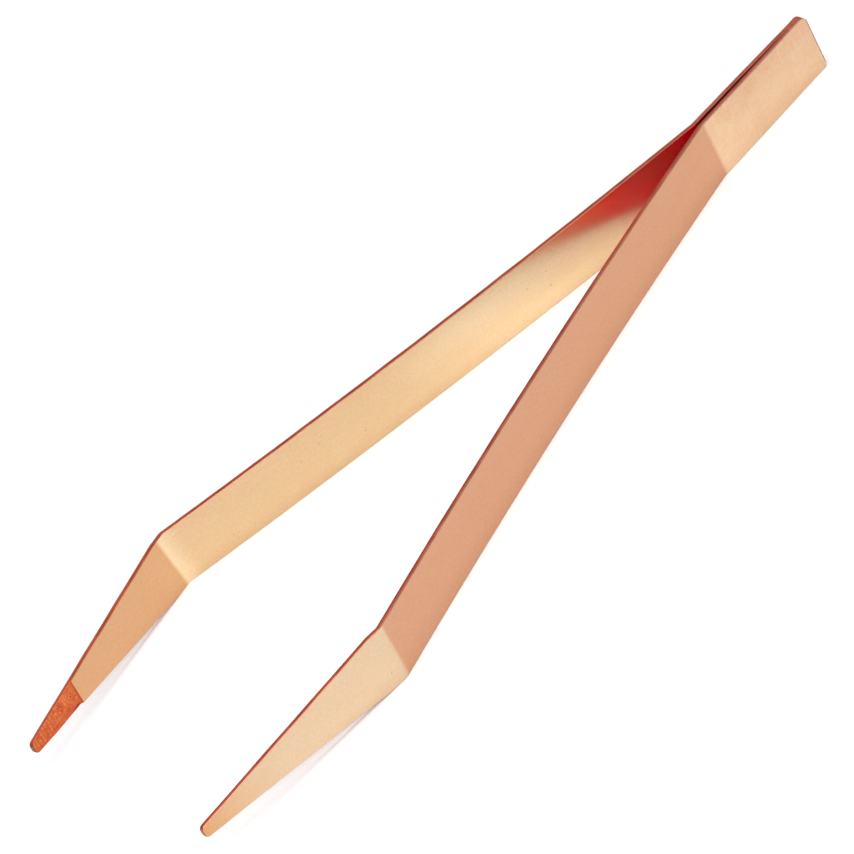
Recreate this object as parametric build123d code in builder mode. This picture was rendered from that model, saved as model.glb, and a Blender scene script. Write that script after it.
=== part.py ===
from build123d import *
from math import radians
import os

# Sprung tongs made of two flat copper strips, spot welded face to face at the tail.
# +X points to the tail, the tips point to -X, the jaws open along Y, and +Z is across the strip.
# The tongs stand on their long edges at Z = 0, with the origin under the middle of their box.
# Each strip bends like a spring just past its crease, so it is cut there into a tail leaf and a leg.

# Copper strip, in mm
STRIP_WIDTH = 14.0
STRIP_THICKNESS = 1.0

# Lengths along the inner face of a strip
TAIL_LENGTH = 33.5                              # from the tail's end to the crease
CONTACT_LENGTH = 8.0                            # end of the tail, where the strips lie together
SHANK_LENGTH = 135.0                            # from the crease to the elbow
ROOT_LENGTH = 20.0                              # from the crease to the line where the strip flexes
JAW_LENGTH = 50.5                               # from the elbow to the tip

# Bends, angles in degrees
LIFT_ANGLE = 0.9                                # the tail leaves part between contact and crease
SPLAY_ANGLE = 11.0                              # shank from the centre plane, just past the crease
FLARE_ANGLE = 4.5                               # further turn outward, spread along the shank
TOE_IN_ANGLE = {"left": 4.8, "right": 9.9}      # jaw from the centre plane, each bent by hand
LIFT_RADIUS = 60.0
CREASE_RADIUS = 1.0                             # inside of the bend
ELBOW_RADIUS = 1.5                              # inside of the bend

# Jaw outline and rounded corners
TAPER_START = 2.8                               # full width kept past the elbow
TIP_WIDTH = 2.8
TIP_CORNER_RADIUS = 0.5
TAIL_CORNER_RADIUS = 1.5

# Serrations across the inner face of each tip
SERRATED_LENGTH = 15.0
SERRATION_PITCH = 0.9
SERRATION_WIDTH = 0.6
SERRATION_DEPTH = 0.2

# Spot welds inside the tail
WELD_COUNT = 2
WELD_PITCH = 6.0
WELD_DIAMETER = 3.5
WELD_DEPTH = 0.3                                # how far a nugget reaches into each strip

# The left strip lies at -Y. Both run towards -X, so turning outward is anticlockwise on the left.
OUTWARD_TURN = {"left": 1, "right": -1}
OUTER_SIDE = {"left": Side.LEFT, "right": Side.RIGHT}

flare_radius = SHANK_LENGTH / radians(FLARE_ANGLE)
root_share = ROOT_LENGTH / SHANK_LENGTH


def draw_tail(side, tail_end_x):
    """Inner face in plan, from the tail's end to the flexing line. Returns its last edge."""
    turn = OUTWARD_TURN[side]
    slope_length = TAIL_LENGTH - CONTACT_LENGTH - LIFT_RADIUS * radians(LIFT_ANGLE)
    contact = Line((tail_end_x, 0), (tail_end_x - CONTACT_LENGTH, 0))
    lift = JernArc(contact @ 1, contact % 1, LIFT_RADIUS, turn * LIFT_ANGLE)
    slope = Line(lift @ 1, lift @ 1 + lift % 1 * slope_length)
    crease_radius = CREASE_RADIUS + STRIP_THICKNESS
    crease = JernArc(slope @ 1, slope % 1, crease_radius, turn * (SPLAY_ANGLE - LIFT_ANGLE))
    return JernArc(crease @ 1, crease % 1, flare_radius, turn * FLARE_ANGLE * root_share)


def draw_leg(side, root):
    """Inner face in plan, from the end of the root to the tip. Returns the jaw's edge."""
    turn = OUTWARD_TURN[side]
    elbow_angle = SPLAY_ANGLE + FLARE_ANGLE + TOE_IN_ANGLE[side]
    shank = JernArc(root @ 1, root % 1, flare_radius, turn * FLARE_ANGLE * (1 - root_share))
    elbow = JernArc(shank @ 1, shank % 1, ELBOW_RADIUS, -turn * elbow_angle)
    return Line(elbow @ 1, elbow @ 1 + elbow % 1 * JAW_LENGTH)


def thicken(side):
    """Close the drawn inner face into the outline of the strip's thickness."""
    offset(amount=STRIP_THICKNESS, side=OUTER_SIDE[side], closed=True)


def draw_weld_spots():
    """Round nuggets in the middle of the contact length, spread across the strip."""
    with Locations((tail_end_x - CONTACT_LENGTH / 2, STRIP_WIDTH / 2)):
        with GridLocations(WELD_PITCH, WELD_PITCH, 1, WELD_COUNT):
            Circle(WELD_DIAMETER / 2)


# Both whole strips in plan with the tail's end at X = 0, to centre the tongs on the origin
with BuildSketch() as plan:
    for side in OUTWARD_TURN:
        with BuildLine():
            draw_leg(side, draw_tail(side, 0))
            thicken(side)
        make_face()
tail_end_x = -plan.sketch.bounding_box().center().X

os.makedirs("parts", exist_ok=True)
roots = {}

# Tail leaves: the welded tail, the crease and the root of the shank
for side in OUTWARD_TURN:
    with BuildPart() as leaf:
        with BuildSketch():
            with BuildLine():
                roots[side] = draw_tail(side, tail_end_x)
                thicken(side)
            make_face()
        extrude(amount=STRIP_WIDTH)
        tail_corners = leaf.edges().filter_by(Axis.Y).group_by(Axis.X)[-1]
        fillet(tail_corners, radius=TAIL_CORNER_RADIUS)
        with BuildSketch(Plane.XZ):
            draw_weld_spots()
        extrude(amount=WELD_DEPTH, both=True, mode=Mode.SUBTRACT)
    leaf.part.label = f"{side}_tail_leaf"
    export_step(leaf.part, f"parts/{side}_tail_leaf.step")

# Spot welds: nuggets of fused copper, half in each tail leaf
with BuildPart() as spot_welds:
    with BuildSketch(Plane.XZ):
        draw_weld_spots()
    extrude(amount=WELD_DEPTH, both=True)
spot_welds.part.label = "spot_welds"
export_step(spot_welds.part, "parts/spot_welds.step")

# Legs: the rest of the shank, the elbow and the tapered jaw with its serrated tip
for side in OUTWARD_TURN:
    with BuildPart() as leg:
        with BuildSketch():
            with BuildLine():
                jaw = draw_leg(side, roots[side])
                thicken(side)
            make_face()
        extrude(amount=STRIP_WIDTH)

        # Waste above and below the taper, on a plane square to the jaw at mid width
        middle = Vector(0, 0, STRIP_WIDTH / 2)
        across_jaw = (jaw % 0).cross(Vector(0, 0, 1))
        jaw_plane = Plane(jaw @ 0 + middle, x_dir=jaw % 0, z_dir=across_jaw)
        past_tip = JAW_LENGTH + STRIP_WIDTH
        with BuildSketch(jaw_plane):
            with BuildLine():
                Polyline(
                    (TAPER_START, STRIP_WIDTH / 2),
                    (JAW_LENGTH, TIP_WIDTH / 2),
                    (past_tip, TIP_WIDTH / 2),
                    (past_tip, STRIP_WIDTH),
                    (TAPER_START, STRIP_WIDTH),
                    close=True,
                )
            make_face()
            mirror(about=Plane.XZ)
        extrude(amount=2 * STRIP_THICKNESS, both=True, mode=Mode.SUBTRACT)
        along_jaw = Axis(jaw @ 0, jaw % 0)
        tip_corners = leg.edges().filter_by(Axis(jaw @ 0, across_jaw)).group_by(along_jaw)[-1]
        fillet(tip_corners, radius=TIP_CORNER_RADIUS)

        # V grooves across the inner face, the first one a pitch from the tip
        groove_count = int(SERRATED_LENGTH / SERRATION_PITCH)
        groove_depth = OUTWARD_TURN[side] * SERRATION_DEPTH
        with BuildSketch(Plane(jaw @ 1, x_dir=jaw % 0, z_dir=(0, 0, 1))):
            with Locations((-(groove_count + 1) / 2 * SERRATION_PITCH, 0)):
                with GridLocations(SERRATION_PITCH, 1, groove_count, 1):
                    with BuildLine():
                        Polyline(
                            (-SERRATION_WIDTH / 2, 0),
                            (SERRATION_WIDTH / 2, 0),
                            (0, groove_depth),
                            close=True,
                        )
                    make_face()
        extrude(amount=STRIP_WIDTH, mode=Mode.SUBTRACT)
    leg.part.label = f"{side}_leg"
    export_step(leg.part, f"parts/{side}_leg.step")
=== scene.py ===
import math

import bpy
import numpy as np
from mathutils import Matrix, Vector


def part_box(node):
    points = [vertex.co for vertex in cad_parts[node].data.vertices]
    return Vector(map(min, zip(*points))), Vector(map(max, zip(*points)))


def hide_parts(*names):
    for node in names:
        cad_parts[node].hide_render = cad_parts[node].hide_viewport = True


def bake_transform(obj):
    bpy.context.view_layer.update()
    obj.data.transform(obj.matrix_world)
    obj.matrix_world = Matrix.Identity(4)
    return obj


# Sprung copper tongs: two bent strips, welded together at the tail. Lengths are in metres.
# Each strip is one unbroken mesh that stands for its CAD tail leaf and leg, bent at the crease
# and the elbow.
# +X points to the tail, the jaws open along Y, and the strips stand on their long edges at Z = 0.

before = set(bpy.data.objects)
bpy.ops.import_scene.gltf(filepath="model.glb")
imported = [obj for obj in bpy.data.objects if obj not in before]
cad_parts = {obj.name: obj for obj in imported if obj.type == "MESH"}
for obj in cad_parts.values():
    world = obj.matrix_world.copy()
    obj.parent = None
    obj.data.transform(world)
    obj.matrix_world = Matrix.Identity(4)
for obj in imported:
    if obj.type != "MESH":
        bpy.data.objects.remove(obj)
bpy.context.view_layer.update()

# Strip, from the frame where it says
tail_low, tail_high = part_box("left_tail_leaf")
TAIL_END = tail_high.x
STRIP_WIDTH = tail_high.z - tail_low.z
THICKNESS = 0.001

# Lengths along the inner face
TAIL_LENGTH = 0.0335
CONTACT_LENGTH = 0.008
SHANK_LENGTH = 0.135
ROOT_LENGTH = 0.020
JAW_LENGTH = 0.0505

# Bends
LIFT_ANGLE = math.radians(0.9)
SPLAY_ANGLE = math.radians(11.0)
FLARE_ANGLE = math.radians(4.5)
TOE_IN_ANGLE = {"left": math.radians(4.8), "right": math.radians(9.9)}
LIFT_RADIUS = 0.060
CREASE_RADIUS = 0.0010
ELBOW_RADIUS = 0.0015
LEAF_BOW = 0.00007              # the leaves bow apart a little between weld and crease

# Outline
TAPER_START = 0.0028
TIP_WIDTH = 0.0028
TIP_CORNER = 0.0009
TAIL_CORNER = 0.0015
ROLLED_CORNER = 0.00013         # edge drawn over by the shear, on the outer face
BURR_CORNER = 0.00009           # sharper edge, on the inner face
END_ROUNDING = 0.00010
EDGE_WANDER = 0.00010           # how far the cut edges wander inward

# Serrated tip
SERRATED_LENGTH = 0.0153
SERRATION_PITCH = 0.0009
SERRATION_WIDTH = 0.0006
SERRATION_DEPTH = 0.0002
SERRATION_RECESS = 0.00007      # the filed face lies a little below the rolled one
FILED_NOTCH = {"left": 0.00008, "right": 0.00040}   # where the file ran off the lower edge
NOTCH_RISE = 0.0009             # the notch reaches its depth over this length,
NOTCH_FADE = 0.009              # and is gone after this one
GROOVES = 16
TOOTH_MARKS = 21                # seeded values for the teeth, some past the last groove

# Finish
# Face tints are painted light and shade: lit and shaded copies of one copper, one for each face.
TAIL_OUTSIDE_LIT = (0.81, 0.57, 0.37)
SHANK_OUTSIDE_SHADED = (0.68, 0.37, 0.225)
JAW_OUTSIDE_LIT = (0.79, 0.60, 0.405)
SHANK_INSIDE_LIT = (0.79, 0.56, 0.325)
JAW_INSIDE_SHADED = (0.72, 0.42, 0.222)
# Painted red reflection of the facing strip, in the crotch
RED_PAINTED_REFLECTION = (0.88, 0.028, 0.054)
TAIL_UPPER_SHADE = (0.76, 0.47, 0.30)             # upper part of the tail, pinker and darker: painted shade
SHANK_PAINTED_LIGHT = (0.95, 0.73, 0.445)        # painted light, inside past the crotch
SHANK_UPPER_SHADE = (0.80, 0.53, 0.32)            # painted shade, inside along the upper edge
SHANK_PAINTED_HIGHLIGHT = (1.0, 0.80, 0.53)            # painted highlight on the upper part of the painted light zone
CREASE_PAINTED_REFLECTION = (1.0, 0.003, 0.028)          # painted red reflection, deepest, next to the crease
LEAF_GAP_SHADE = (0.45, 0.06, 0.045)           # painted shade between the tail leaves
# Painted highlights next to the crease and the elbow
CREASE_HIGHLIGHT = (0.96, 0.72, 0.48)
ELBOW_HIGHLIGHT = (0.99, 0.83, 0.57)
DULL_TIP = (0.74, 0.40, 0.18)
CLOUD = (0.90, 0.55, 0.30)                  # wiped cloudiness
MOTTLE = (0.86, 0.74, 0.66)
STROKE = (0.93, 0.71, 0.47)
PIT = (0.50, 0.22, 0.11)
SCRATCH = (1.0, 0.80, 0.60)
PALE_EDGE = (1.0, 0.52, 0.38)               # sheared edge of the tail
BURNISHED_EDGE = (0.94, 0.32, 0.20)         # sheared edge past the crease
TORN_EDGE = (0.76, 0.12, 0.065)
EDGE_SHADE = (0.60, 0.45, 0.42)
CREST = (0.68, 0.155, 0.042)                # filed teeth
# Bright specks on the teeth: worn metal and painted glints
CREST_WEAR_AND_GLINT = (0.88, 0.42, 0.17)
BLOTCH = (0.84, 0.31, 0.075)
# Painted shade in the grooves between the teeth
VALLEY_SHADE = (0.56, 0.09, 0.04)
DARK_BLOTCH = (0.46, 0.045, 0.02)
LOW_TEETH = (0.60, 0.09, 0.035)             # towards the lower edge
NOTCH_SHADE = (0.30, 0.02, 0.02)                # painted shade in the notch where the file ran off
CUT_STEP_SHADOW = (0.40, 0.05, 0.03)               # painted shadow of the step at the first cut
END_BURR = (0.26, 0.11, 0.07)               # dark line at the tail's end and the tip
PAINTED_DIMMING = (0.89, 0.89, 0.89)                   # even painted shade that dims the whole strip
# Past the crease, the painted red reflection is full up to the first length and gone by the
# second.
PAINTED_REFLECTION_REACH = {"left": (0.021, 0.058), "right": (0.002, 0.024)}

SIDES = {"left": -1, "right": 1}
SEEDS = {"left": 11, "right": 23}


# ---- Course of a strip ----

def stretches(side):
    """Stretches of the inner face from the tail's end: name, length and outward turn."""
    crease_turn = SPLAY_ANGLE - LIFT_ANGLE
    elbow_turn = SPLAY_ANGLE + FLARE_ANGLE + TOE_IN_ANGLE[side]
    lift_length = LIFT_RADIUS * LIFT_ANGLE
    return [
        ("contact", CONTACT_LENGTH, 0.0),
        ("lift", lift_length, LIFT_ANGLE),
        ("slope", TAIL_LENGTH - CONTACT_LENGTH - lift_length, 0.0),
        ("crease", (CREASE_RADIUS + THICKNESS) * crease_turn, crease_turn),
        ("shank", SHANK_LENGTH, FLARE_ANGLE),
        ("elbow", ELBOW_RADIUS * elbow_turn, -elbow_turn),
        ("jaw", JAW_LENGTH, 0.0),
    ]


def starts(side):
    """How far along the strip each stretch starts; "tip" is where the last one ends."""
    found, run = {}, 0.0
    for name, length, _ in stretches(side):
        found[name] = run
        run += length
    found["tip"] = run
    return found


def inner_line(side, runs):
    """Plan points and headings of the inner face at these distances from the tail's end."""
    points = np.zeros((len(runs), 2))
    headings = np.zeros(len(runs))
    x, y, heading, run = TAIL_END, 0.0, 0.0, 0.0
    for _, length, turn in stretches(side):
        here = runs >= run - 1e-9
        part = np.clip((runs[here] - run) / length, 0.0, 1.0)
        half = turn * part / 2
        chord = length * part * np.sinc(half / math.pi)
        points[here, 0] = x - chord * np.cos(heading + half)
        points[here, 1] = y + chord * np.sin(heading + half)
        headings[here] = heading + turn * part
        chord = length * np.sinc(turn / 2 / math.pi)
        x -= chord * math.cos(heading + turn / 2)
        y += chord * math.sin(heading + turn / 2)
        heading += turn
        run += length
    points[:, 1] *= SIDES[side]
    return points, headings


def place(side, runs, depth, height):
    """Points of the strip: distance along it, depth outward from its inner face, height."""
    points, headings = inner_line(side, runs)
    x = points[:, 0] + depth * np.sin(headings)
    y = points[:, 1] + SIDES[side] * depth * np.cos(headings)
    return np.column_stack((x, y, height))


CREASE_START = starts("left")["crease"]
ELBOW_START = starts("left")["elbow"]
TIP_END = starts("right")["tip"]
FIRST_CUT = TIP_END - SERRATED_LENGTH


# ---- Mesh of a strip ----

def ripple(rng, runs, longest, shortest, count=7):
    """Smooth seeded wander between -1 and 1 along the strip."""
    lengths = np.exp(rng.uniform(math.log(shortest), math.log(longest), count))
    phases = rng.uniform(0, 2 * math.pi, count)
    shares = np.sqrt(lengths)
    waves = np.sin(2 * math.pi * runs[:, None] / lengths + phases)
    return waves @ shares / shares.sum()


def rounding(radius, distance):
    """How far a rounded corner draws in, this far from the end that it rounds."""
    left = np.clip(radius - distance, 0.0, radius)
    return radius - np.sqrt(radius * radius - left * left)


def stations(side):
    """Distances along the strip where its section is drawn, closest in bends and serrations."""
    at = starts(side)
    quarter = 1 - np.cos(np.linspace(0, math.pi / 2, 10))
    marks = [
        np.arange(0.0016, at["tip"] - SERRATED_LENGTH - 0.0005, 0.001),
        TAIL_CORNER * quarter,
        END_ROUNDING * quarter[::2],
        at["tip"] - TIP_CORNER * quarter,
        at["tip"] - END_ROUNDING * quarter[::2],
        at["jaw"] + TAPER_START + np.linspace(-0.0006, 0.0006, 7),
    ]
    for name, length, turn in stretches(side):
        if name in ("crease", "elbow"):
            marks.append(at[name] + length * np.linspace(0, 1, 11))
            marks.append(at[name] - np.array([0.00005, 0.0002, 0.0005]))
            marks.append(at[name] + length + np.array([0.00005, 0.0002, 0.0005]))
    marks.append(at["tip"] - SERRATED_LENGTH + np.linspace(-0.0002, 0.0002, 6))
    marks.append(at["tip"] - SERRATION_PITCH / 10 * np.arange(1, 166))
    runs = np.sort(np.concatenate(marks))
    keep = np.concatenate(([True], np.diff(runs) > 6e-6))
    return runs[keep]


FACE_STEPS = 28
CORNER_STEPS = 4
EDGE_STEPS = 4


def section(low, high, inset):
    """Closed loops round the strip: heights, depths and how much each point is on the edge."""
    across = np.concatenate(([0, 0.012], np.linspace(0, 1, FACE_STEPS - 1)[1:-1], [0.988, 1]))
    low, high = (low + inset)[:, None], (high - inset)[:, None]
    inner, outer = inset[:, None], (THICKNESS - inset)[:, None]
    bend = np.linspace(0, math.pi / 2, CORNER_STEPS + 1)[None, 1:-1]
    rise = np.linspace(0, 1, EDGE_STEPS + 1)[None, :]
    sine, cosine = np.sin(bend), np.cos(bend)
    burr, rolled = BURR_CORNER, ROLLED_CORNER
    rows = [
        (low + burr + (high - low - 2 * burr) * across, inner + 0 * across, 0),
        (high - burr + burr * sine, inner + burr - burr * cosine, sine),
        (high + 0 * rise, inner + burr + (outer - inner - burr - rolled) * rise, 1),
        (high - rolled + rolled * cosine, outer - rolled + rolled * sine, cosine),
        (high - rolled - (high - low - 2 * rolled) * across, outer + 0 * across, 0),
        (low + rolled - rolled * sine, outer - rolled + rolled * cosine, sine),
        (low + 0 * rise, outer - rolled - (outer - inner - burr - rolled) * rise, 1),
        (low + burr - burr * cosine, inner + burr - burr * sine, cosine),
    ]
    heights = np.concatenate([row[0] for row in rows], axis=1)
    depths = np.concatenate([row[1] for row in rows], axis=1)
    edge = np.concatenate([row[0] * 0 + row[2] for row in rows], axis=1)
    return heights, depths, edge


def half_width(side, runs):
    """Half the strip's width: full to just past the elbow, then a straight taper to the tip."""
    at = starts(side)
    taper = (runs - at["jaw"] - TAPER_START) / (JAW_LENGTH - TAPER_START)
    return STRIP_WIDTH / 2 - (STRIP_WIDTH - TIP_WIDTH) / 2 * np.clip(taper, 0, 1)


def serrate(rng, side, runs, heights, depths):
    """Cuts the filed teeth into the inner face, and returns how far each point is in them."""
    from_tip = (starts(side)["tip"] - runs)[:, None]
    face = np.clip(1 - depths / BURR_CORNER, 0, 1)
    zone = np.clip((SERRATED_LENGTH - from_tip) / 0.00015 + 0.5, 0, 1)
    tooth = from_tip / SERRATION_PITCH
    index = np.clip(np.round(tooth).astype(int), 0, TOOTH_MARKS - 1)
    wear = np.linspace(1.0, 0.45, TOOTH_MARKS)
    uneven = (rng.uniform(0.6, 1.0, TOOTH_MARKS) * wear)[index]
    lean = rng.uniform(-1, 1, TOOTH_MARKS)[index] * 0.00008 * (heights - STRIP_WIDTH / 2) / 0.003
    off = np.abs(from_tip + lean - index * SERRATION_PITCH) / (SERRATION_WIDTH / 2)
    valley = np.clip(1 - off, 0, 1) * uneven
    valley = np.where((index >= 1) & (index <= GROOVES), valley, 0)
    cut = SERRATION_RECESS + (SERRATION_DEPTH - SERRATION_RECESS) * valley
    return depths + face * zone * cut, face * zone, valley * zone * face


def build_strip(side):
    """One whole strip as a closed mesh, from the tail's end to the tip."""
    rng = np.random.default_rng(SEEDS[side])
    runs = stations(side)
    at = starts(side)
    from_end = np.minimum(runs, at["tip"] - runs)
    corner = rounding(TAIL_CORNER, runs) + rounding(TIP_CORNER, at["tip"] - runs)
    half = half_width(side, runs) - corner
    low = STRIP_WIDTH / 2 - half + EDGE_WANDER * (1 + ripple(rng, runs, 0.03, 0.003)) / 2
    high = STRIP_WIDTH / 2 + half - EDGE_WANDER * (1 + ripple(rng, runs, 0.03, 0.003)) / 2
    past_cut = runs - at["tip"] + SERRATED_LENGTH
    notch = np.clip(past_cut / NOTCH_RISE, 0, 1) * np.clip(1 - past_cut / NOTCH_FADE, 0, 1)
    low += FILED_NOTCH[side] * notch
    heights, depths, edge = section(low, high, rounding(END_ROUNDING, from_end))
    depths, filed, valley = serrate(rng, side, runs, heights, depths)

    # The rolled faces wander a little, and never touch where the strips lie together.
    sway = 0.00002 + 0.000015 * ripple(rng, runs, 0.06, 0.012)
    leaf = np.clip((runs - 0.004) / (TAIL_LENGTH - 0.004), 0, 1)
    sway += LEAF_BOW * np.sin(math.pi * leaf) * (1 + 0.4 * ripple(rng, runs, 0.008, 0.003))
    count, around = heights.shape
    along = np.repeat(runs, around)
    co = place(side, along, (depths + sway[:, None]).ravel(), heights.ravel())

    faces = []
    for i in range(count - 1):
        for j in range(around):
            k = (j + 1) % around
            a, b = i * around, (i + 1) * around
            faces.append((a + j, a + k, b + k, b + j))
    faces.append(tuple(range(around - 1, -1, -1)))
    faces.append(tuple((count - 1) * around + j for j in range(around)))
    if SIDES[side] > 0:
        faces = [face[::-1] for face in faces]
    mesh = bpy.data.meshes.new(f"{side}_strip")
    mesh.from_pydata(co.tolist(), [], faces)
    mesh.shade_smooth()

    spot = mesh.attributes.new("strip_place", "FLOAT_VECTOR", "POINT")
    spots = np.column_stack((along, heights.ravel(), depths.ravel()))
    spot.data.foreach_set("vector", spots.ravel())
    edge = np.maximum(edge, np.clip(3.0 - from_end / END_ROUNDING, 0, 1)[:, None])
    # Painted red reflection of the facing strip, on the inner face in the crotch
    full, none = PAINTED_REFLECTION_REACH[side]
    past_root = along.reshape(count, around) - at["shank"]
    red_reflection = np.clip((none - past_root) / (none - full), 0, 1)
    red_reflection *= np.clip(1 - depths / (THICKNESS / 2), 0, 1)
    kinds = {"sheared": edge, "filed": filed, "valley": valley, "painted_red_reflection": red_reflection}
    for name, values in kinds.items():
        mesh.attributes.new(name, "FLOAT", "POINT").data.foreach_set("value", values.ravel())
    mesh.update()
    strip = bpy.data.objects.new(f"{side}_strip", mesh)
    bpy.context.collection.objects.link(strip)
    return strip


# ---- Finishes ----

class Wire:
    """A shader socket that can be used in sums; each sum adds its Math node."""

    def __init__(self, finish, socket):
        self.finish, self.socket = finish, socket

    def sum(self, operation, *values, clamp=False):
        settings = {"operation": operation, "use_clamp": clamp}
        return self.finish.node("Math", settings, dict(enumerate(values)))

    def __add__(self, other):
        return self.sum("ADD", self, other)

    def __radd__(self, other):
        return self.sum("ADD", other, self)

    def __sub__(self, other):
        return self.sum("SUBTRACT", self, other)

    def __rsub__(self, other):
        return self.sum("SUBTRACT", other, self)

    def __mul__(self, other):
        return self.sum("MULTIPLY", self, other)

    def __rmul__(self, other):
        return self.sum("MULTIPLY", other, self)

    def clip(self):
        return self.sum("ADD", self, 0.0, clamp=True)


class Finish:
    """A material's nodes. Settings that never vary go on the shader itself."""

    def __init__(self, name, **constants):
        self.material = bpy.data.materials.new(name)
        self.material.use_nodes = True
        self.nodes = self.material.node_tree.nodes
        self.links = self.material.node_tree.links
        self.shader = self.nodes["Principled BSDF"]
        for socket, value in constants.items():
            self.shader.inputs[socket.replace("_", " ")].default_value = value

    def node(self, kind, settings=None, sockets=None, output=0):
        """Adds a node: its type, its settings, and its sockets' values or links."""
        node = self.nodes.new("ShaderNode" + kind)
        for name, value in (settings or {}).items():
            setattr(node, name, value)
        for key, value in (sockets or {}).items():
            self.connect(node.inputs[key], value)
        return Wire(self, node.outputs[output])

    def connect(self, socket, value):
        if isinstance(value, Wire):
            self.links.new(value.socket, socket)
        else:
            socket.default_value = value

    def attribute(self, name, output):
        return self.node("Attribute", {"attribute_name": name}, output=output)

    def range(self, value, low, high, smooth=True):
        """0 below low, 1 above high."""
        kind = "SMOOTHSTEP" if smooth else "LINEAR"
        sockets = {"Value": value, "From Min": low, "From Max": high}
        return self.node("MapRange", {"interpolation_type": kind}, sockets)

    def split(self, vector):
        """The three parts of a vector or colour."""
        first = self.node("SeparateXYZ", {}, {0: vector})
        return [Wire(self, output) for output in first.socket.node.outputs]

    def hairlines(self, vector, turn, density, width):
        """Sparse thin lines, long in one direction."""
        sockets = {"Vector": vector, "Angle": turn}
        turned = self.node("VectorRotate", {"rotation_type": "Z_AXIS"}, sockets)
        level = self.noise(self.stretch(turned, (density * 0.07, density, 1.0)), 1.0, 0.0)
        lines = 1 - self.range((level - 0.5).sum("ABSOLUTE", level - 0.5), 0.0, width)
        return lines * self.range(self.noise(vector, 75.0, 1.0), 0.55, 0.62)

    def stretch(self, vector, scale, shift=(0.0, 0.0, 0.0)):
        sockets = {0: vector, 1: scale, 2: shift}
        return self.node("VectorMath", {"operation": "MULTIPLY_ADD"}, sockets)

    def noise(self, vector, scale, detail=2.0, roughness=0.5, distortion=0.0):
        sockets = {
            "Vector": vector, "Scale": scale, "Detail": detail,
            "Roughness": roughness, "Distortion": distortion,
        }
        return self.node("TexNoise", {}, sockets)

    def mix(self, share, first, second, way="MIX"):
        """Colours mixed by a share."""
        sockets = {0: share}
        for index, colour in ((6, first), (7, second)):
            sockets[index] = colour if isinstance(colour, Wire) else (*colour, 1.0)
        return self.node("Mix", {"data_type": "RGBA", "blend_type": way}, sockets, output=2)

    def bump(self, height, distance):
        sockets = {"Height": height, "Distance": distance, "Strength": 1.0}
        return self.node("Bump", {}, sockets)

    def set(self, **sockets):
        for name, value in sockets.items():
            self.connect(self.shader.inputs[name.replace("_", " ")], value)
        return self.material


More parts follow.
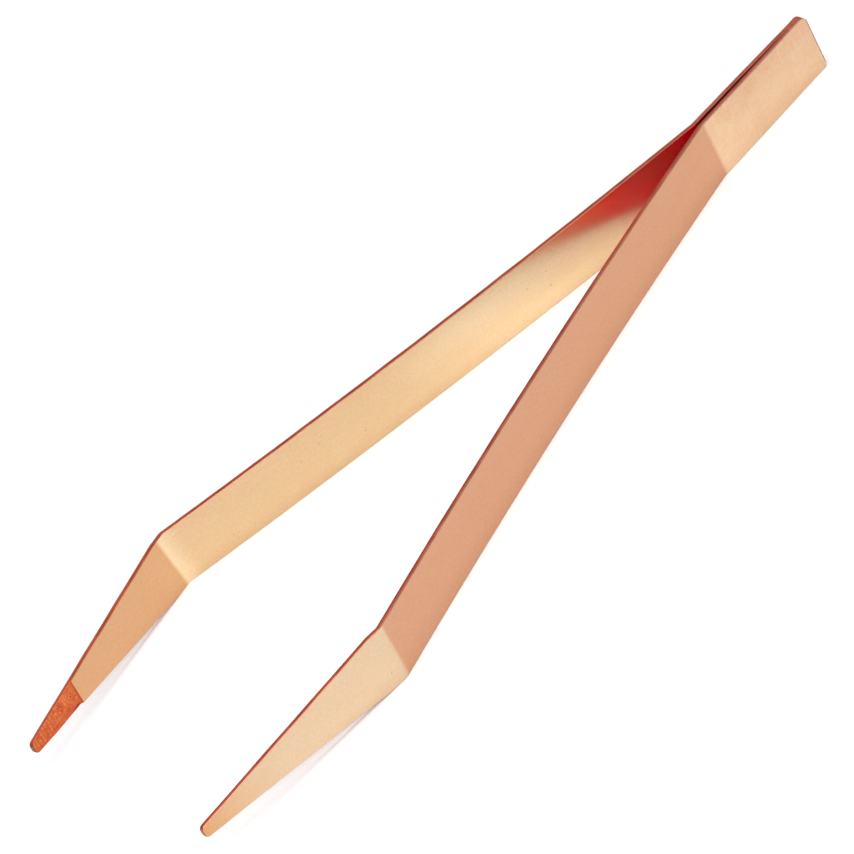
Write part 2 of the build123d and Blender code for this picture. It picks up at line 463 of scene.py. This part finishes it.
def copper_strip_finish():
    """Rolled copper sheet: pale polished faces with painted light and shade, dark sheared edges,
    red filed teeth with painted shade and glints.
    """
    f = Finish("rolled_copper")
    spot = f.attribute("strip_place", "Vector")
    along, across, depth = f.split(spot)
    sheared = f.attribute("sheared", "Fac")
    filed = f.attribute("filed", "Fac")
    valley = f.attribute("valley", "Fac")
    painted_red_reflection = f.attribute("painted_red_reflection", "Fac")
    outside = f.range(depth, 0.0004, 0.0006)
    past_crease = f.range(along, CREASE_START - 0.0012, CREASE_START + 0.0001)
    turned = along - (1 - outside) * (0.0011 + 0.10 * across)
    past_elbow = f.range(turned, ELBOW_START - 0.0009, ELBOW_START + 0.0003)
    face = f.node("CombineXYZ", {}, {0: along + outside * 0.4, 1: across})

    # Faces: painted light and shade, a lit or shaded tint for each face, painted shade along the
    # upper parts and painted light past the crotch
    upper_shade = f.range(across, 0.006, 0.014)
    tail = f.mix(upper_shade * 0.55, TAIL_OUTSIDE_LIT, TAIL_UPPER_SHADE)
    outer = f.mix(past_crease, tail, SHANK_OUTSIDE_SHADED)
    outer = f.mix(past_elbow, outer, JAW_OUTSIDE_LIT)
    # Painted light past the crotch, with a painted highlight along its upper part
    painted_light_zone = f.range(along, 0.040, 0.056) * (1 - f.range(along, 0.075, 0.120))
    shank = f.mix(painted_light_zone, SHANK_INSIDE_LIT, SHANK_PAINTED_LIGHT)
    shank = f.mix(f.range(across, 0.009, 0.014) * (1 - painted_light_zone) * 0.5, shank, SHANK_UPPER_SHADE)
    shank = f.mix(f.range(across, 0.004, 0.011) * painted_light_zone, shank, SHANK_PAINTED_HIGHLIGHT)
    inner = f.mix(past_elbow, shank, JAW_INSIDE_SHADED)
    # Painted red reflection of the facing strip in the crotch, deepest at the crease
    painted_crimson = f.mix(f.range(along, 0.036, 0.052), CREASE_PAINTED_REFLECTION, RED_PAINTED_REFLECTION)
    inner = f.mix(painted_red_reflection, inner, painted_crimson)
    # Painted shade between the tail leaves
    inner = f.mix(1 - past_crease, inner, LEAF_GAP_SHADE)
    sheet = f.mix(outside, inner, outer)

    # Painted highlights next to the bends, and dull tips
    crease_highlight_mask = f.range(along, 0.020, 0.033) * (1 - past_crease) * outside
    elbow_highlight_mask = f.range(turned, ELBOW_START - 0.0055, ELBOW_START)
    elbow_highlight_mask = elbow_highlight_mask * (1 - past_elbow) * (1 - outside)
    sheet = f.mix(crease_highlight_mask * 0.35, sheet, CREASE_HIGHLIGHT)
    sheet = f.mix(elbow_highlight_mask * 0.65, sheet, ELBOW_HIGHLIGHT)
    dull = f.range(along, ELBOW_START + 0.026, ELBOW_START + 0.051, smooth=False)
    sheet = f.mix(dull * dull, sheet, DULL_TIP)

    # Wiped cloudiness, a few millimetres across, and fine mottle
    cloud = f.noise(f.stretch(face, (1.0, 1.7, 1.0)), 170.0, 3.0, 0.6, 0.8)
    mottle = f.noise(face, 1500.0, 3.0, 0.7)
    on_tail = (1 - past_crease) * outside
    sheet = f.mix(f.range(cloud, 0.35, 0.70) * (0.06 + 0.10 * on_tail), sheet, CLOUD, "MULTIPLY")
    sheet = f.mix(f.range(mottle, 0.3, 0.7) * 0.34, sheet, MOTTLE, "MULTIPLY")
    strokes = f.noise(f.stretch(face, (1300.0, 190.0, 1.0)), 1.0, 2.0, 0.5, 0.7)
    swept = f.noise(f.stretch(face, (110.0, 1500.0, 1.0), (3.0, 5.0, 0.0)), 1.0, 2.0, 0.5, 0.4)
    patch = f.range(f.noise(face, 95.0, 1.0), 0.40, 0.60)
    strokes = f.range(strokes, 0.52, 0.72) * patch * on_tail
    swept = f.range(swept, 0.52, 0.72) * patch * (1 - outside) * (1 - past_elbow)
    sheet = f.mix((strokes * 0.28 + swept * 0.16).clip(), sheet, STROKE)

    # Pits and hairline scratches
    flat, spacing = {"voronoi_dimensions": "2D"}, {"Vector": face, "Scale": 210.0}
    cells = f.node("TexVoronoi", flat, spacing)
    chance = f.node("TexVoronoi", flat, spacing, output=1)
    lucky, size, _ = f.split(chance)
    pit = (1 - f.range(cells, 0.015, 0.030 + 0.035 * size)) * f.range(lucky, 0.80, 0.84)
    sheet = f.mix(pit * 0.55, sheet, PIT)
    scratch = None
    for turn, density, width in ((0.35, 420.0, 0.006), (-0.9, 300.0, 0.005), (2.2, 260.0, 0.004)):
        lines = f.hairlines(face, turn, density, width)
        scratch = lines if scratch is None else scratch.sum("MAXIMUM", scratch, lines)
    handled = 1 - past_crease * outside
    sheet = f.mix(scratch * handled * 0.22, sheet, SCRATCH)

    # Sheared edges: burnished near the outer face, torn and dark near the inner one;
    # paler along the tail
    tear = f.noise(f.stretch(spot, (7000.0, 900.0, 1100.0)), 1.0, 3.0)
    shade = f.noise(spot, 160.0, 2.0)
    torn = (1 - f.range(depth, 0.00035, 0.00075)) * 0.6 + tear * 0.5
    handled_edge = f.range(along, 0.032, 0.060)
    burnished = f.mix(handled_edge, PALE_EDGE, BURNISHED_EDGE)
    edge = f.mix(torn.clip(), burnished, TORN_EDGE)
    edge = f.mix(f.range(shade, 0.35, 0.65) * 0.5, edge, EDGE_SHADE, "MULTIPLY")

    # Filed teeth: bright specks of wear and painted glint, deep red valleys with painted shade,
    # painted shadow at the first cut
    # Bright specks of wear and painted glint on the teeth
    grit = f.noise(spot, 2600.0, 3.0)
    crest = f.mix(f.range(grit, 0.55, 0.72), CREST, CREST_WEAR_AND_GLINT)
    blotch = f.noise(spot, 650.0, 3.0, 0.7)
    valley_shade_strength = f.range(along, FIRST_CUT + 0.003, FIRST_CUT + 0.010)
    crest = f.mix(f.range(blotch, 0.52, 0.66) * 0.6, crest, BLOTCH)
    # Painted shade in the grooves, stronger towards the tip
    teeth = f.mix((valley * (0.35 + 0.55 * valley_shade_strength)).clip(), crest, VALLEY_SHADE)
    teeth = f.mix((1 - f.range(blotch, 0.36, 0.48)) * 0.55, teeth, DARK_BLOTCH)
    redder = (1 - f.range(across, 0.0045, 0.0085)) * (0.1 + shade)
    teeth = f.mix(redder.clip(), teeth, LOW_TEETH)
    entering = f.range(along, FIRST_CUT + 0.0005, FIRST_CUT + 0.0012)
    leaving = f.range(along, FIRST_CUT + 0.002, FIRST_CUT + 0.004)
    notch_shade_mask = entering * (1 - leaving)
    # Painted shade in the notch where the file ran off
    teeth = f.mix(notch_shade_mask * (1 - f.range(across, 0.0045, 0.0053)), teeth, NOTCH_SHADE)
    # Painted shadow of the step at the first cut
    step_shadow = 1 - f.range(along, FIRST_CUT + 0.0002, FIRST_CUT + 0.0006)
    teeth = f.mix(step_shadow * 0.6, teeth, CUT_STEP_SHADOW)

    base = f.mix(f.range(sheared, 0.45, 0.90), sheet, edge)
    base = f.mix(filed, base, teeth)
    tail_end = 1 - f.range(along, 0.00012, 0.00034)
    tip_end = f.range(along, TIP_END - 0.00034, TIP_END - 0.00012)
    base = f.mix((tail_end + tip_end).clip() * 0.8, base, END_BURR)
    # Even painted shade over the whole strip
    base = f.mix(1.0, base, PAINTED_DIMMING, "MULTIPLY")
    rough = 0.14 + 0.04 * cloud + 0.06 * mottle + 0.22 * sheared + 0.2 * filed + 0.1 * painted_red_reflection

    # Rolling grain, pits, scratches and torn edge as fine relief
    grain = f.noise(f.stretch(face, (70.0, 4200.0, 1.0)), 1.0, 2.0)
    relief = grain * 0.3 - pit - scratch * 0.4 + mottle * 0.3 + tear * sheared + grit * filed
    normal = f.bump(relief, 0.000012)
    return f.set(Base_Color=base, Roughness=rough, Metallic=1 - 0.22 * painted_red_reflection, Normal=normal)


def weld_finish():
    """Fused copper of the spot welds."""
    f = Finish("fused_copper", Metallic=1.0)
    place = f.node("TexCoord", output="Object")
    grain = f.noise(place, 900.0, 4.0)
    base = f.mix(grain, (0.50, 0.20, 0.11), (0.70, 0.36, 0.22))
    return f.set(Base_Color=base, Roughness=0.35 + 0.2 * grain)


def floor_finish():
    """Smooth white card."""
    f = Finish("white_card", Specular_IOR_Level=0.2)
    place = f.node("TexCoord", output="Object")
    mottle = f.noise(place, 60.0, 3.0)
    base = f.mix(mottle, (0.945, 0.945, 0.945), (0.96, 0.96, 0.96))
    return f.set(Base_Color=base, Roughness=0.75 + 0.1 * mottle)


# ---- Studio ----

def lay_floor():
    reach = 4.0
    corners = [(-reach, -reach, 0), (reach, -reach, 0), (reach, reach, 0), (-reach, reach, 0)]
    mesh = bpy.data.meshes.new("floor")
    mesh.from_pydata(corners, [], [(0, 1, 2, 3)])
    mesh.materials.append(floor_finish())
    floor = bpy.data.objects.new("floor", mesh)
    bpy.context.collection.objects.link(floor)


def hang_softbox(name, position, size, power, aim=(0, 0, 0)):
    lamp = bpy.data.lights.new(name, "AREA")
    lamp.shape = "RECTANGLE"
    lamp.size, lamp.size_y = size
    lamp.energy = power
    box = bpy.data.objects.new(name, lamp)
    box.location = position
    box.rotation_mode = "QUATERNION"
    box.rotation_quaternion = (Vector(aim) - Vector(position)).to_track_quat("-Z", "Y")
    bpy.context.collection.objects.link(box)


def light_studio():
    world = bpy.data.worlds.new("studio")
    world.use_nodes = True
    background = world.node_tree.nodes["Background"]
    background.inputs["Color"].default_value = (1.0, 1.0, 1.0, 1.0)
    background.inputs["Strength"].default_value = 0.37
    bpy.context.scene.world = world
    hang_softbox("overhead_softbox", (-0.05, -0.10, 1.6), (1.1, 1.1), 17.2)
    hang_softbox("front_softbox", (-0.51, -0.99, 1.00), (0.7, 0.7), 10.3)
    bpy.context.scene.view_settings.view_transform = "Standard"


def set_camera():
    """Long lens, looking down on the tongs, turned so that the tail is at the upper right."""
    azimuth, elevation, roll = (math.radians(a) for a in (-27.31, 38.88, -28.75))
    distance, lens = 1.28223, 275.85
    aside, upward = -0.00863, -0.00483
    flat = math.cos(elevation)
    back = Vector((math.sin(azimuth) * flat, -math.cos(azimuth) * flat, math.sin(elevation)))
    right = Vector((0, 0, 1)).cross(back).normalized()
    up = back.cross(right)
    across = right * math.cos(roll) + up * math.sin(roll)
    above = up * math.cos(roll) - right * math.sin(roll)
    target = Vector((0, 0, STRIP_WIDTH / 2)) + across * aside + above * upward
    lens_data = bpy.data.cameras.new("camera")
    lens_data.lens = lens
    lens_data.clip_start, lens_data.clip_end = 0.01, 20.0
    camera = bpy.data.objects.new("camera", lens_data)
    turned = Matrix((across, above, back)).transposed().to_4x4()
    camera.matrix_world = Matrix.Translation(target + back * distance) @ turned
    bpy.context.collection.objects.link(camera)
    bpy.context.scene.camera = camera


# ---- Assembly ----

strip_copper = copper_strip_finish()
for side in SIDES:
    strip = build_strip(side)
    strip.data.materials.append(strip_copper)
    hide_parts(f"{side}_tail_leaf", f"{side}_leg")
    flex = starts(side)["shank"] + ROOT_LENGTH
    zone = np.array([flex, flex])
    middle = place(side, zone, np.zeros(2), np.full(2, STRIP_WIDTH / 2))[0]
    heading = inner_line(side, zone)[1][0]
    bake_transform(strip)

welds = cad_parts["spot_welds"]
for slot in welds.material_slots:
    slot.material = weld_finish()
if not welds.material_slots:
    welds.data.materials.append(weld_finish())

lay_floor()
light_studio()
set_camera()
